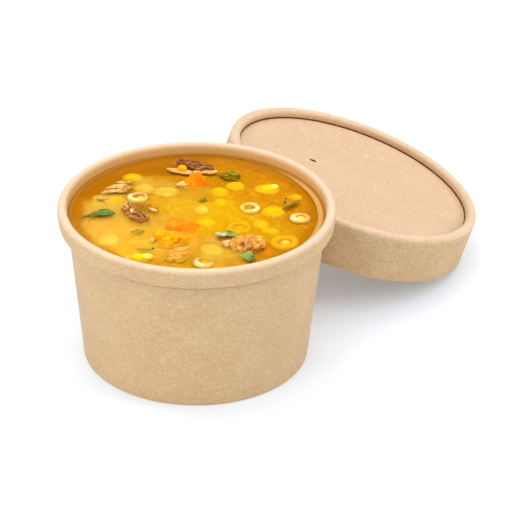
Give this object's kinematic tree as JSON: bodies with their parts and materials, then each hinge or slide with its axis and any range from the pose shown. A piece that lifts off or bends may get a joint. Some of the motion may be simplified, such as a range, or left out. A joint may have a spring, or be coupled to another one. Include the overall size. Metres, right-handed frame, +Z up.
{
  "type": "takeaway soup container with lid",
  "caption": "Round kraft paper takeaway cup with a rolled rim, full of chunky vegetable, meat and pasta soup, its recessed paper lid leaning against its side.",
  "frame": {"origin": "middle of the underside of the bounding box, on the surface that the cup and the lid stand on", "axes": "+Z up, along the cup's axis. The cup stands towards -X and -Y, and the lid leans on its back right side, towards +X and +Y. +Y is the longest extent of the cup and lid together, and +Z the shortest."},
  "size_m": [0.181, 0.2054, 0.0688],
  "materials": {
    "kraft_paper": "matte",
    "broth": "gloss",
    "meat": "satin",
    "carrot": "gloss",
    "squash": "gloss",
    "pasta": "satin",
    "corn": "satin",
    "herb": "satin",
    "fat": "satin"
  },
  "bodies": {
    "root": {"cup_wall": "kraft_paper", "cup_base": "kraft_paper", "lid_ring": "kraft_paper", "lid_panel": "kraft_paper", "soup": "broth", "meat_back": "meat", "meat_left": "meat", "meat_right": "meat", "carrot_back": "carrot", "carrot_middle": "carrot", "squash_front": "squash", "pasta_ring_left": "pasta", "pasta_ring_middle": "pasta", "pasta_ring_right": "pasta", "pasta_ring_front": "pasta"}
  },
  "joints": []
}
